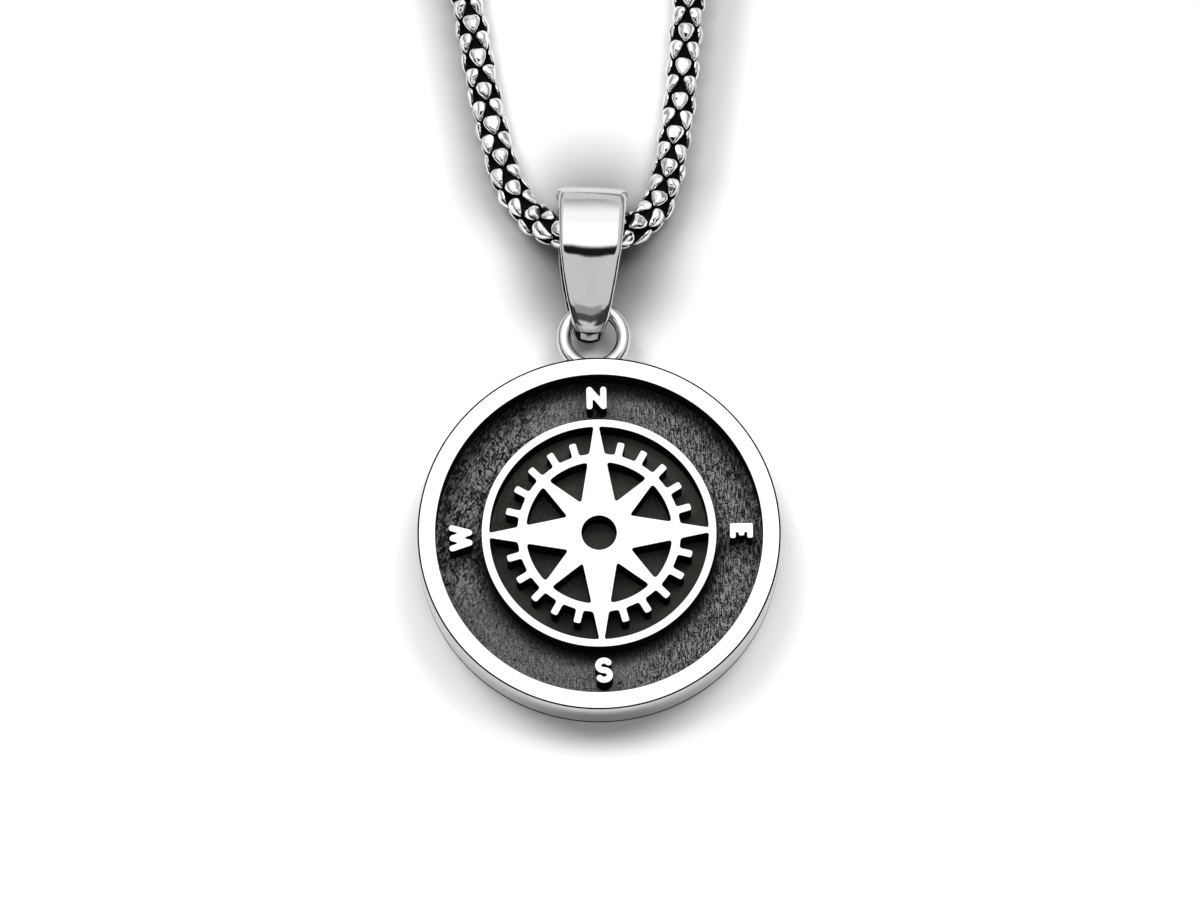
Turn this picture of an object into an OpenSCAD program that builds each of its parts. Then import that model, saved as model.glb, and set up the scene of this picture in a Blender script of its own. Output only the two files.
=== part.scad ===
// Compass pendant on a chain, lying on its back as a worn thing is laid down.
// Millimetres. Origin: middle of the medallion's flat back. +Y runs from the medallion's S to
// its N and on to the chain, +X to its E, and +Z up out of the face.

/* [Medallion] */
// Outer diameter of the disc
disc_d = 25; // [24.5:0.1:26]
// Thickness of the disc, from its back to the top of the rim
disc_t = 4.1; // [3.8:0.1:4.4]
// Width of the raised rim
rim_w = 1.2; // [0.9:0.05:1.4]
// Depth of the sunk field below the rim, the rose and the letters
field_depth = 2.1; // [1.2:0.1:2.4]
// Bevel round the outer edge of the rim
rim_bevel = 0.12; // [0.05:0.01:0.3]
// Bevel round the edge of the back
back_bevel = 0.3; // [0.1:0.05:0.5]

/* [Compass rose] */
// Outer diameter of the plain ring round the rose
dial_d = 16.1; // [15.8:0.1:16.4]
// Width of the plain ring
dial_w = 0.48; // [0.36:0.02:0.6]
// Outer diameter of the toothed ring, without its teeth
cog_d = 11.2; // [10.8:0.1:11.6]
// Width of the toothed ring's band
cog_w = 0.54; // [0.4:0.02:0.7]
// Length of a tooth outside the band
tooth_l = 0.95; // [0.6:0.05:1.1]
// Width of a tooth
tooth_w = 0.46; // [0.3:0.02:0.6]
// Teeth between two main points of the star
teeth_each = 5; // [3:2:7]
// Radius at which two points of the star meet
valley_r = 2.4; // [2.2:0.1:2.6]
// Angle from a main point of the star to that meeting
valley_angle = 29; // [27:1:31]
// Width of a main point where it runs into the plain ring
main_tip_w = 0.22; // [0.1:0.02:0.4]
// Diameter of the round pit in the middle
pit_d = 2.48; // [2:0.04:2.8]

/* [Letters] */
// Height of a letter
letter_h = 1.56; // [1.4:0.02:1.7]
// Width of a letter's stroke
letter_w = 0.36; // [0.28:0.02:0.4]
// Distance from the middle of the disc to the middle of a letter
letter_r = 9.66; // [9.5:0.02:9.8]

/* [Soldered ring] */
// Outer diameter of the ring on the disc's edge
ring_d = 5.2; // [5.1:0.1:5.4]
// Diameter of its wire
ring_wire = 1.02; // [0.9:0.02:1.04]
// Depth that it is sunk into the disc's edge
ring_sink = 0.6; // [0.4:0.05:0.7]

/* [Bail] */
// Length of the bail
bail_l = 10.65; // [10.4:0.05:10.9]
// Greatest width of its strap
bail_w = 4.8; // [4.4:0.1:5.2]
// Thickness of its strap
bail_t = 0.56; // [0.5:0.02:0.58]
// Outer radius of the big turn, round the chain
bail_big_r = 2.05; // [2:0.05:2.1]
// Outer radius of the crowned front, over the big turn
bail_crown_r = 5.5; // [5.2:0.1:5.8]
// Outer radius of the small turn, through the ring
bail_small_r = 1.22; // [1.2:0.02:1.26]
// Angle by which the bail leans towards the east
bail_lean = 2.4; // [0:0.2:4]
// Angle by which it rolls on to the east edge of its strap
bail_roll = 4; // [0:0.5:5]

/* [Chain and clasp] */
// Diameter of the chain
chain_d = 2.4; // [2.2:0.05:2.45]
// Outer diameter of an end cap
cap_d = 3.2; // [3.1:0.05:3.2]
// Length of an end cap
cap_l = 5; // [4.5:0.1:6]
// Diameter of the wire of the loops and the jump ring
loop_wire = 0.6; // [0.5:0.02:0.62]
// Radius of the loops to the middle of their wire
loop_r = 1.25; // [1.22:0.01:1.27]
// Radius of the clasp's hook to the middle of its wire
hook_r = 2.5; // [2.4:0.1:3]
// Diameter of the clasp's wire
hook_wire = 1.5; // [1.2:0.1:1.5]

/* [Hidden] */
$fn = 48;

silver = [0.82, 0.82, 0.84];
dark_silver = [0.62, 0.62, 0.64];

// Medallion
disc_r = disc_d / 2;
field_z = disc_t - field_depth;
sunk = 0.2;                       // how far a raised form reaches into the field, to be one with it
dial_r = dial_d / 2;
cog_r = cog_d / 2;
cross_tip_w = tooth_w;            // a lesser point of the star is as wide as the tooth it runs into
ring_r = (ring_d - ring_wire) / 2;
ring_y = disc_r + ring_d / 2 - ring_sink;
ring_z = disc_t / 2;
solder_r = 0.38;
solder_x = 1.8;

// Strokes of the letters, in letter heights from the middle of the letter: [from, to]
letter_n = [[[-0.31, -0.38], [-0.31, 0.38]], [[-0.31, 0.38], [0.31, -0.38]], [[0.31, -0.38], [0.31, 0.38]]];
letter_e = [[[-0.21, -0.38], [-0.21, 0.38]], [[-0.05, -0.38], [-0.05, 0.38]], [[-0.05, 0.38], [0.21, 0.38]],
            [[-0.05, 0], [0.1, 0]], [[-0.05, -0.38], [0.21, -0.38]]];
letter_west = [[[-0.46, 0.38], [-0.23, -0.38]], [[-0.23, -0.38], [0, 0.36]], [[0, 0.36], [0.23, -0.38]],
               [[0.23, -0.38], [0.46, 0.38]]];
letter_s_h = letter_h * 1.12;
// Where each letter stands, as cast: [compass angle, distance beyond letter_r]
place_n = [89.6, -0.06];
place_e = [-0.6, 0.13];
place_s = [270.5, 0.08];
place_west = [180.8, -0.14];

// Bail: its two turns, seen from the side, as [along Y, up Z]
small_turn = [ring_y + bail_small_r - 0.05, ring_z];
big_turn = [small_turn[0] - bail_small_r + bail_l - bail_big_r, bail_big_r + bail_w / 2 * sin(bail_roll)];
// The front is crowned between these normals, as angles from Y up to Z
crown_from = 106;
crown_to = 55;
// Outline of the strap from above: [share of the length from the small turn, share of the width]
bail_outline = [[0, 0.34], [0.085, 0.4], [0.22, 0.6], [0.35, 0.75], [0.53, 0.86], [1, 1]];

// Clasp: places along X, at the far end of the chain
clasp_y = 233;
clasp_z = cap_d / 2;
hook_x = -3.8;
neck_l = 2.8;
loop_gap = 0.48;                          // from the middle of the jump ring to each loop's wire
loop_west_x = hook_x - hook_r;
eye_x = hook_x + hook_r + neck_l + loop_r;
jump_x = eye_x + loop_r + loop_gap;
loop_east_x = jump_x + loop_gap + loop_r;
cap_bore_l = cap_l - 1.2;
cap_bore_r = chain_d / 2 + 0.08;
cap_seat = 0.2;                           // space between the chain's end and the cap's bottom
chain_end_in = loop_r + cap_l - cap_bore_l + cap_seat;

// Chain: points that its middle runs through, from the west end cap through the bail to the east one
lie_z = chain_d / 2 + 0.02;
route = [
    [loop_west_x - chain_end_in, clasp_y, clasp_z], [-14, clasp_y, clasp_z], [-21, 232, 1.4],
    [-31, 227, lie_z], [-40, 218, lie_z], [-46, 206, lie_z], [-49, 193, lie_z], [-50, 180, lie_z], [-49, 167, lie_z],
    [-46, 153, lie_z], [-42, 139, lie_z], [-37, 125, lie_z], [-31, 111, lie_z], [-25, 97, lie_z],
    [-19.5, 83, lie_z], [-14.5, 69, lie_z], [-11, 56, lie_z], [-9, 45, lie_z], [-8, 38, lie_z],
    [-7.05, 32, lie_z], [-6.25, 28.3, 1.25], [-5.8, 26.5, 1.35], [-4.8, 24.6, 1.5], [-3.6, 23, 1.8],
    [-2.2, 22.1, 2.4], [0.2, 21.8, 2.3], [2.4, 22.05, 2.15], [3.7, 22.9, 1.8], [4.6, 24, 1.5],
    [5.3, 25.8, 1.35], [5.9, 28.4, 1.25], [6.5, 32, lie_z], [7.2, 38, lie_z], [8.2, 46, lie_z],
    [10.5, 56, lie_z], [14.5, 69, lie_z], [19.5, 83, lie_z], [25, 97, lie_z], [31, 111, lie_z],
    [37, 125, lie_z], [42, 139, lie_z], [46, 153, lie_z], [49, 167, lie_z], [50, 180, lie_z],
    [49, 193, lie_z], [46, 206, lie_z], [40, 218, lie_z], [31, 227, lie_z], [21, 232, 1.4],
    [14, clasp_y, clasp_z], [loop_east_x + chain_end_in, clasp_y, clasp_z]
];
long_step = 11;                           // a longer step of the route gets a ring halfway
chain_sides = 8;

function turned(a) = [cos(a), sin(a)];

function polar(r, a) = r * turned(a);

// Points of a round-ended stroke from a to b
function stroke_points(a, b, w) =
    let (along = atan2(b[1] - a[1], b[0] - a[0]))
    concat([for (i = [0:6]) a + polar(w / 2, along + 90 + 30 * i)],
           [for (i = [0:6]) b + polar(w / 2, along - 90 + 30 * i)]);

// Middle line of the letter S: two arcs that meet in the middle
function s_line(rx, ry) =
    concat([for (a = [35:25:260]) [rx * cos(a), ry + ry * sin(a)]],
           [for (a = [80:-25:-145]) [rx * cos(a), ry * sin(a) - ry]]);

function arc(c, r, from, to, steps, first = 0) =
    [for (i = [first:steps]) c + polar(r, from + (to - from) * i / steps)];

// Side outline of the bail with its walls moved in by inset: over the crown, round the big turn, back along
// the underside, round the small turn and up the straight front
function bail_line(inset) =
    let (crown = big_turn - polar(bail_crown_r - bail_big_r, crown_to),
         gap = big_turn - small_turn,
         under = atan2(gap[1], gap[0]) - acos((bail_small_r - bail_big_r) / norm(gap)),
         front = crown + polar(bail_crown_r, crown_from) - small_turn - polar(bail_small_r, crown_from),
         front_normal = atan2(front[1], front[0]) + 90)
    concat(arc(crown, bail_crown_r - inset, crown_from, crown_to, 10),
           arc(big_turn, bail_big_r - inset, crown_to, under, 18, 1),
           arc(small_turn, bail_small_r - inset, under + 360, front_normal, 14));

// A curve through route points p0 to p3, between p1 and p2
function curve(p0, p1, p2, p3, t) =
    0.5 * (2 * p1 + (p2 - p0) * t + (2 * p0 - 5 * p1 + 4 * p2 - p3) * t * t
           + (3 * p1 - p0 - 3 * p2 + p3) * t * t * t);

function at(list, i) = list[max(0, min(len(list) - 1, i))];

function centres(points) = [
    for (i = [0:len(points) - 2])
        let (n = norm(points[i + 1] - points[i]) > long_step ? 2 : 1)
        for (k = [0:n - 1])
            curve(at(points, i - 1), points[i], points[i + 1], at(points, i + 2), k / n),
    points[len(points) - 1]
];

function unit(v) = v / norm(v);

// A round of points about c, square to the direction d
function round_about(c, d, r, sides) =
    let (side = unit(cross(d, [0, 0, 1])), up = cross(side, d))
    [for (k = [0:sides - 1]) c + r * (cos(360 * k / sides) * side + sin(360 * k / sides) * up)];

module tube(points, r, sides) {
    c = centres(points);
    rows = len(c);
    rounds = [for (i = [0:rows - 1]) each round_about(c[i], unit(at(c, i + 1) - at(c, i - 1)), r, sides)];
    walls = [for (i = [0:rows - 2], k = [0:sides - 1])
        let (a = i * sides + k, b = i * sides + (k + 1) % sides)
        [a, b, b + sides, a + sides]];
    first = [for (k = [sides - 1:-1:0]) k];
    last = [for (k = [0:sides - 1]) (rows - 1) * sides + k];
    polyhedron(points = rounds, faces = concat([first], walls, [last]), convexity = 10);
}

module band_2d(r, w) {
    difference() {
        circle(r);
        circle(r - w);
    }
}

module star_2d() {
    main_r = dial_r - dial_w / 2;
    main_spread = atan(main_tip_w / 2 / main_r);
    cross_r = cog_r - cog_w / 2;
    cross_spread = atan(cross_tip_w / 2 / cross_r);
    polygon([for (a = [0:90:270]) each [
        polar(main_r, a - main_spread), polar(main_r, a + main_spread), polar(valley_r, a + valley_angle),
        polar(cross_r, a + 45 - cross_spread), polar(cross_r, a + 45 + cross_spread),
        polar(valley_r, a + 90 - valley_angle)
    ]]);
}

module tooth_2d() {
    translate([cog_r - cog_w / 2, -tooth_w / 2])
        square([cog_w / 2 + tooth_l, tooth_w]);
}

module rose_2d() {
    difference() {
        union() {
            star_2d();
            band_2d(dial_r, dial_w);
            band_2d(cog_r, cog_w);
            for (a = [0:90:270], k = [1:teeth_each])
                rotate(a + 90 * k / (teeth_each + 1)) tooth_2d();
        }
        circle(pit_d / 2);
    }
}

// A letter stands at its place with its head outwards
module on_point(place) {
    rotate(place[0]) translate([letter_r + place[1], 0]) rotate(-90) children();
}

module strokes_2d(strokes) {
    for (s = strokes)
        polygon(stroke_points(letter_h * s[0], letter_h * s[1], letter_w));
}

module letter_s_2d() {
    ry = (letter_s_h - letter_w) / 4;
    line = s_line(ry * 1.15, ry);
    for (i = [0:len(line) - 2])
        polygon(stroke_points(line[i], line[i + 1], letter_w));
}

module letters_2d() {
    on_point(place_n) strokes_2d(letter_n);
    on_point(place_e) strokes_2d(letter_e);
    on_point(place_s) letter_s_2d();
    on_point(place_west) strokes_2d(letter_west);
}

module disc() {
    floor_r = disc_r - rim_w;
    rotate_extrude()
        polygon([
            [0, 0], [disc_r - back_bevel, 0], [disc_r, back_bevel], [disc_r, disc_t - rim_bevel],
            [disc_r - rim_bevel, disc_t], [floor_r, disc_t], [floor_r, field_z], [0, field_z]
        ]);
}

module wire_ring(r, wire) {
    rotate_extrude() translate([r, 0]) circle(wire / 2);
}

module soldered_ring() {
    translate([0, ring_y, ring_z]) wire_ring(ring_r, ring_wire);
    for (x = [-solder_x, solder_x])
        translate([x, disc_r + solder_r / 4, ring_z]) sphere(solder_r);
}

module medallion() {
    color(dark_silver) {
        disc();
        translate([0, 0, field_z - sunk])
            linear_extrude(field_depth + sunk) {
                rose_2d();
                letters_2d();
            }
        soldered_ring();
    }
}

module bail_side() {
    length = bail_w * 2;
    rotate([90, 0, 90])
        linear_extrude(length, center = true)
            difference() {
                polygon(bail_line(0));
                polygon(bail_line(bail_t));
            }
}

module bail() {
    foot_y = small_turn[0] - bail_small_r;
    east = [for (p = bail_outline) [p[1] * bail_w / 2, foot_y + p[0] * bail_l]];
    west = [for (i = [len(east) - 1:-1:0]) [-east[i][0], east[i][1]]];
    color(silver)
        translate([0, ring_y + ring_r, ring_z]) rotate([0, bail_roll, -bail_lean])
            translate([0, -ring_y - ring_r, -ring_z])
                intersection() {
                    bail_side();
                    translate([0, 0, -1]) linear_extrude(2 * bail_crown_r) polygon(concat(east, west));
                }
}

module chain() {
    color(silver) tube(route, chain_d / 2, chain_sides);
}

// A cap whose loop is at the origin and whose mouth looks towards -X
module end_cap() {
    bevel = 0.35;
    r = cap_d / 2;
    difference() {
        union() {
            rotate([0, -90, 0])
                rotate_extrude()
                    polygon([
                        [0, loop_r], [r - bevel, loop_r], [r, loop_r + bevel],
                        [r, loop_r + cap_l - bevel / 2], [r - bevel / 2, loop_r + cap_l], [0, loop_r + cap_l]
                    ]);
            children();
        }
        translate([-loop_r - cap_l - 1, 0, 0])
            rotate([0, 90, 0]) cylinder(r = cap_bore_r, h = cap_bore_l + 1);
    }
}

module end_cap_west() {
    color(silver)
        translate([loop_west_x, clasp_y, clasp_z])
            end_cap() rotate([90, 0, 0]) wire_ring(loop_r, loop_wire);
}

module end_cap_east() {
    color(silver)
        translate([loop_east_x, clasp_y, clasp_z])
            mirror([1, 0, 0]) end_cap() wire_ring(loop_r, loop_wire);
}

module jump_ring() {
    color(silver)
        translate([jump_x, clasp_y, clasp_z]) rotate([90, 0, 0]) wire_ring(loop_r, loop_wire);
}

module clasp() {
    color(silver)
        translate([0, clasp_y, clasp_z]) {
            translate([hook_x, 0, 0]) wire_ring(hook_r, hook_wire);
            translate([hook_x + hook_r, 0, 0]) rotate([0, 90, 0]) cylinder(d = hook_wire, h = neck_l);
            translate([eye_x, 0, 0]) wire_ring(loop_r, loop_wire);
        }
}

medallion();
bail();
chain();
end_cap_west();
end_cap_east();
jump_ring();
clasp();
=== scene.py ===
import bpy, bmesh, math
from bisect import bisect_right
from mathutils import Matrix, Vector, noise
from mathutils.geometry import delaunay_2d_cdt


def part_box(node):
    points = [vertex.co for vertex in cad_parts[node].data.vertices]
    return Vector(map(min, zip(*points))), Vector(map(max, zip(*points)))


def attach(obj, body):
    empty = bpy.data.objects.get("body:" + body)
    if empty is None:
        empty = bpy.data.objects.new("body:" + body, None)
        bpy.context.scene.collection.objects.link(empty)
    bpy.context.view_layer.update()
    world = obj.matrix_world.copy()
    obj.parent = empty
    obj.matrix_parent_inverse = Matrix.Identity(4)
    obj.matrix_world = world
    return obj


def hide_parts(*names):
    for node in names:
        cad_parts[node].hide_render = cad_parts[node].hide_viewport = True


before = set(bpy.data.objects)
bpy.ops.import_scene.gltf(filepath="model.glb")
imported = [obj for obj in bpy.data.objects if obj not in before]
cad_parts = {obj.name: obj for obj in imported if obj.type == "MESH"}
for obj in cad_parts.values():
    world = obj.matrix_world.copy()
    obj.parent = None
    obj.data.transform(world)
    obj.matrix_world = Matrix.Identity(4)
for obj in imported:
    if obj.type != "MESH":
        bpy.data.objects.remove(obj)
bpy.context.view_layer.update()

# Sizes are in millimetres, and mm turns them into metres. A texture's scale counts its cells in a metre.
mm = 0.001
dialR = 8.05  # the compass dial's edge, where the open field begins


def inMetres(sizes):
    return [size * mm for size in sizes]


# Shader maths: an expression on wires adds its Math nodes.
class Wire:
    def __init__(self, shader, socket):
        self.shader = shader
        self.socket = socket

    def maths(self, operation, first, second):
        return self.shader.node("Math", {"operation": operation}, {0: first, 1: second})["Value"]

    def __add__(self, other):
        return self.maths("ADD", self, other)

    def __radd__(self, other):
        return self.maths("ADD", other, self)

    def __sub__(self, other):
        return self.maths("SUBTRACT", self, other)

    def __rsub__(self, other):
        return self.maths("SUBTRACT", other, self)

    def __mul__(self, other):
        return self.maths("MULTIPLY", self, other)

    def __rmul__(self, other):
        return self.maths("MULTIPLY", other, self)

    def __abs__(self):
        return self.maths("ABSOLUTE", self, 0)


class Shader:
    def __init__(self, tree):
        self.tree = tree
        tree.nodes.clear()

    # kind is the node's type, and settings are its own fields, which are set first.
    # sockets are values or wires, by the socket's name or number.
    def node(self, kind, settings=None, sockets=None):
        new = self.tree.nodes.new("ShaderNode" + kind)
        for name, value in (settings or {}).items():
            if name == "stops":
                self.fillRamp(new.color_ramp, value)
            else:
                setattr(new, name, value)
        for name, value in (sockets or {}).items():
            if isinstance(name, int):
                target = new.inputs[name]
            else:
                target = next(s for s in new.inputs if s.enabled and s.name == name)
            if isinstance(value, Wire):
                self.tree.links.new(value.socket, target)
            else:
                target.default_value = value
        return {s.name: Wire(self, s) for s in reversed(new.outputs) if s.enabled}

    def fillRamp(self, ramp, stops):
        while len(ramp.elements) < len(stops):
            ramp.elements.new(0.5)
        for element, (place, level) in zip(ramp.elements, stops):
            element.position = place
            element.color = grey(level)

    # 0 below low and 1 above high, with a smooth step between
    def step(self, value, low, high):
        sockets = {"Value": value, "From Min": low, "From Max": high}
        return self.node("MapRange", {"interpolation_type": "SMOOTHSTEP"}, sockets)["Result"]

    # the same step from -0.5 to 0.5
    def swing(self, value, low, high):
        return self.step(value, low, high) - 0.5

    # 1 between the rise and the fall, and 0 outside them
    def band(self, value, rise, fall):
        return self.step(value, *rise) * (1 - self.step(value, *fall))

    def blend(self, share, first, second):
        sockets = {"Factor": share, "A": first, "B": second}
        return self.node("Mix", {"data_type": "RGBA"}, sockets)["Result"]

    def noise(self, place, scale, detail, rough=0.5):
        sockets = {"Vector": place, "Scale": scale, "Detail": detail, "Roughness": rough}
        return self.node("TexNoise", {}, sockets)["Fac"]

    # a noise with a scale for each axis
    def grained(self, place, scale, detail, rough=0.5):
        return self.noise(self.stretched(place, scale), 1, detail, rough)

    def stretched(self, place, scale):
        return self.node("Mapping", {}, {"Vector": place, "Scale": scale})["Vector"]

    # the first axis of scale runs across the grain, which leans that far from north
    def slanted(self, place, lean, scale):
        sockets = {"Vector": place, "Rotation": (0, 0, lean), "Scale": tuple(1 / s for s in scale)}
        return self.node("Mapping", {"vector_type": "TEXTURE"}, sockets)["Vector"]

    def axes(self, place):
        return self.node("SeparateXYZ", {}, {"Vector": place})

    def length(self, place):
        return self.node("VectorMath", {"operation": "LENGTH"}, {0: place})["Value"]

    # the angle in degrees whose tangent is rise over run
    def angle(self, rise, run):
        return self.node("Math", {"operation": "ARCTAN2"}, {0: rise, 1: run})["Value"] * (180 / math.pi)

    def bump(self, height, depth):
        return self.node("Bump", {}, {"Height": height, "Distance": depth * mm})["Normal"]


def newMaterial(name):
    material = bpy.data.materials.new(name)
    material.use_nodes = True
    return material, Shader(material.node_tree)


def grey(level):
    return (level, level, level, 1)


def finishMaterial(shader, sockets):
    surface = shader.node("BsdfPrincipled", {}, sockets)["BSDF"]
    shader.node("OutputMaterial", {}, {"Surface": surface})


# Polished silver: near mirror, with faint smears, the finest polishing lines and, on the chain, dents.
polish = {
    "silver": {"shade": 0.62, "rough": 0.06, "dents": 0},
    "chain": {"shade": 0.82, "rough": 0.03, "dents": 8},
    "smearScale": 260, "smearShade": 0.03, "smearRough": 0.04,
    "lineScale": (9000, 900, 900), "lines": 0.1, "dentScale": 1000, "depth": 0.04,
}


def polishedSilver(name, finish):
    material, shader = newMaterial(name)
    place = shader.node("TexCoord")["Object"]
    smear = shader.noise(place, polish["smearScale"], 4)
    lines = shader.grained(place, polish["lineScale"], 2)
    dents = shader.noise(place, polish["dentScale"], 1)
    shade, off = finish["shade"], polish["smearShade"]
    finishMaterial(shader, {
        "Base Color": shader.blend(smear, grey(shade * (1 - off)), grey(shade * (1 + off))),
        "Metallic": 1.0,
        "Roughness": finish["rough"] + smear * polish["smearRough"],
        "Normal": shader.bump(lines * polish["lines"] + dents * finish["dents"], polish["depth"]),
    })
    return material


# Oxidised field: crackled in the west, brushed in the east, finely pitted all over; browner in the hollows;
# darker by the walls, with patina and painted shade.
oxide = {
    "dark": (0.006, 0.006, 0.006, 1), "light": (0.4, 0.4, 0.392, 1), "cool": (0.4, 0.406, 0.414, 1),
    "soot": (0.012, 0.012, 0.012, 1), "hollow": (0.095, 0.089, 0.078, 1),
    "rough": 0.36, "grainRough": 0.12, "shine": 0.12, "depth": 0.1,
    "fieldMetal": 0.15, "hollowMetal": 0.85, "hollowDepth": 0.15,
    # where each begins and is full, from the disc's middle
    "dialEdge": (dialR - 0.1, dialR + 0.1),
    "east": (1, 8), "west": (0, 7), "notSouth": (-6, 0), "north": (-4, 8),
    # patina and painted shade by the walls: where, and how much of it lies north and south
    "patinaAndShadeByDial": (8.3, 9.6), "byDialNorth": 0.1, "byDialSouth": 0.95,
    "patinaAndShadeByRim": (9.9, 11.2), "byRimNorth": 0.85, "byRimSouth": 0.15,
    # the noises behind the marks: scale, detail and roughness; and the levels where each mark comes up
    "grain": (6500, 4, 0.7), "cloud": (330, 3, 0.55), "fine": (9000, 2, 0.6), "pit": (2600, 1),
    "brush": ((9000, 1500, 1500), 4, 0.7), "waveScale": 1500, "wave": 0.4, "crackle": (4400, 3100, 3400),
    "ridgeLean": -0.52, "ridge": (8200, 2700, 3000), "scratchLean": 0.6, "scratch": (7500, 1900, 2000),
    "levels": {"streaks": (0.4, 0.6), "specks": (0.38, 0.64), "fine": (0.4, 0.6), "ridges": (0.42, 0.58),
               "cracks": (0.03, 0.3), "scratches": (0.57, 0.64), "pits": (0.69, 0.73)},
    "scratchesEast": 0.6, "scratchesAll": 0.12,
    # the bare tone and what lightens it; then how much each mark lightens it, everywhere and more in the
    # east, darkens it and raises the surface
    "tone": 0.48, "toneWest": 0.28, "toneCloud": 0.4, "toneRidges": 1.3,
    "lighter": {"streaks": (0.35, 1.2), "specks": (0.35, 0.4), "fine": (0.35, 0.75)},
    "darker": {"cracks": 0.45, "scratches": 0.8, "pits": 0.9},
    "raised": {"streaks": 0.4, "specks": 0.4, "ridges": 0.8, "cracks": -0.4, "scratches": -0.5, "pits": -1},
    "hollowGrain": 0.3, "hollowCloud": 0.5, "hollowNorth": 0.3,
}


# The marks of the field, by name
def oxideMarks(shader, place, east, west):
    o, levels = oxide, oxide["levels"]
    wavy = shader.node("TexNoise", {}, {"Vector": place, "Scale": o["waveScale"], "Detail": 2})["Color"]
    bent = shader.node("VectorMath", {"operation": "MULTIPLY_ADD"}, {
        0: wavy, 1: (o["wave"] * mm,) * 3, 2: place})["Vector"]
    crackle = shader.node("TexVoronoi", {"feature": "DISTANCE_TO_EDGE"}, {
        "Vector": shader.stretched(bent, o["crackle"]), "Scale": 1.0})["Distance"]
    ridged = shader.noise(shader.slanted(bent, o["ridgeLean"], o["ridge"]), 1, 2)
    scratched = shader.noise(shader.slanted(bent, o["scratchLean"], o["scratch"]), 1, 1)
    grain = shader.noise(place, *o["grain"])
    scratchedPart = west + east * o["scratchesEast"] + o["scratchesAll"]
    return {
        "grain": grain,
        "cloud": shader.noise(place, *o["cloud"]),
        "streaks": shader.swing(shader.grained(place, *o["brush"]), *levels["streaks"]),
        "specks": shader.swing(grain, *levels["specks"]),
        "fine": shader.swing(shader.noise(place, *o["fine"]), *levels["fine"]),
        "ridges": shader.swing(ridged, *levels["ridges"]) * west,
        "cracks": (1 - shader.step(crackle, *levels["cracks"])) * west,
        "scratches": shader.step(scratched, *levels["scratches"]) * scratchedPart,
        "pits": shader.step(shader.noise(place, *o["pit"]), *levels["pits"]),
    }


def oxidisedSilver(name):
    o = oxide
    material, shader = newMaterial(name)
    place = shader.node("TexCoord")["Object"]
    axes = shader.axes(place)
    fromMiddle = shader.length(place)
    outside = shader.step(fromMiddle, *inMetres(o["dialEdge"]))
    east = shader.step(axes["X"], *inMetres(o["east"]))
    west = shader.step(0 - axes["X"], *inMetres(o["west"]))
    west = west * shader.step(axes["Y"], *inMetres(o["notSouth"]))
    north = shader.step(axes["Y"], *inMetres(o["north"]))
    marks = oxideMarks(shader, place, east, west)
    tone = o["tone"] + west * o["toneWest"]
    for mark, (everywhere, moreEast) in o["lighter"].items():
        tone = tone + marks[mark] * (everywhere + east * moreEast)
    tone = tone + marks["ridges"] * o["toneRidges"] + (marks["cloud"] - 0.5) * o["toneCloud"]
    for mark, darker in o["darker"].items():
        tone = tone * (1 - marks[mark] * darker)
    # patina by the walls, with painted shade strongest on their shaded side: south of the dial and inside
    # the rim's north
    patinaAndShadeByDial = 1 - shader.step(fromMiddle, *inMetres(o["patinaAndShadeByDial"]))
    patinaAndShadeByRim = shader.step(fromMiddle, *inMetres(o["patinaAndShadeByRim"]))
    tone = tone * (1 - patinaAndShadeByDial * (o["byDialSouth"] - north * (o["byDialSouth"] - o["byDialNorth"])))
    tone = tone * (1 - patinaAndShadeByRim * (o["byRimSouth"] + north * (o["byRimNorth"] - o["byRimSouth"])))
    bare = shader.blend(tone, o["dark"], shader.blend(east, o["light"], o["cool"]))
    deep = marks["grain"] * o["hollowGrain"] + marks["cloud"] * o["hollowCloud"] + north * o["hollowNorth"]
    height = 0
    for mark, raised in o["raised"].items():
        height = height + marks[mark] * raised
    height = height * (outside * (1 - o["hollowDepth"]) + o["hollowDepth"])
    finishMaterial(shader, {
        "Base Color": shader.blend(outside, shader.blend(deep, o["soot"], o["hollow"]), bare),
        "Metallic": o["hollowMetal"] - outside * (o["hollowMetal"] - o["fieldMetal"]),
        "Specular IOR Level": o["shine"],
        "Roughness": o["rough"] + marks["grain"] * o["grainRough"],
        "Normal": shader.bump(height, o["depth"]),
    })
    return material


# Near-black: soot with painted shade in the chain's hollows and down the walls; painted shade on the bail's
# foot and in the dark bands of the medallion's side.
soot = {"dark": 0.001, "light": 0.005, "rough": 0.6, "grainRough": 0.2, "grain": (3000, 2), "shine": 0.05}


def sootAndShadeBlack(name):
    material, shader = newMaterial(name)
    grain = shader.noise(shader.node("TexCoord")["Object"], *soot["grain"])
    finishMaterial(shader, {
        "Base Color": shader.blend(grain, grey(soot["dark"]), grey(soot["light"])),
        "Roughness": soot["rough"] + grain * soot["grainRough"],
        "Specular IOR Level": soot["shine"],
    })
    return material


silver = polishedSilver("polishedSilver", polish["silver"])
chainSilver = polishedSilver("chainSilver", polish["chain"])
darkField = oxidisedSilver("oxidisedField")
darkCore = sootAndShadeBlack("sootAndShadeCore")
print("stage 1: materials")


# Camera: the photograph's view, from the south and a little west, far off with a long lens.
view = {"azimuth": -1.5, "elevation": 75, "away": 700, "across": 83.2, "target": (0.245, 6.94, 0),
        "sensor": 36, "clip": (10, 20000)}


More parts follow.
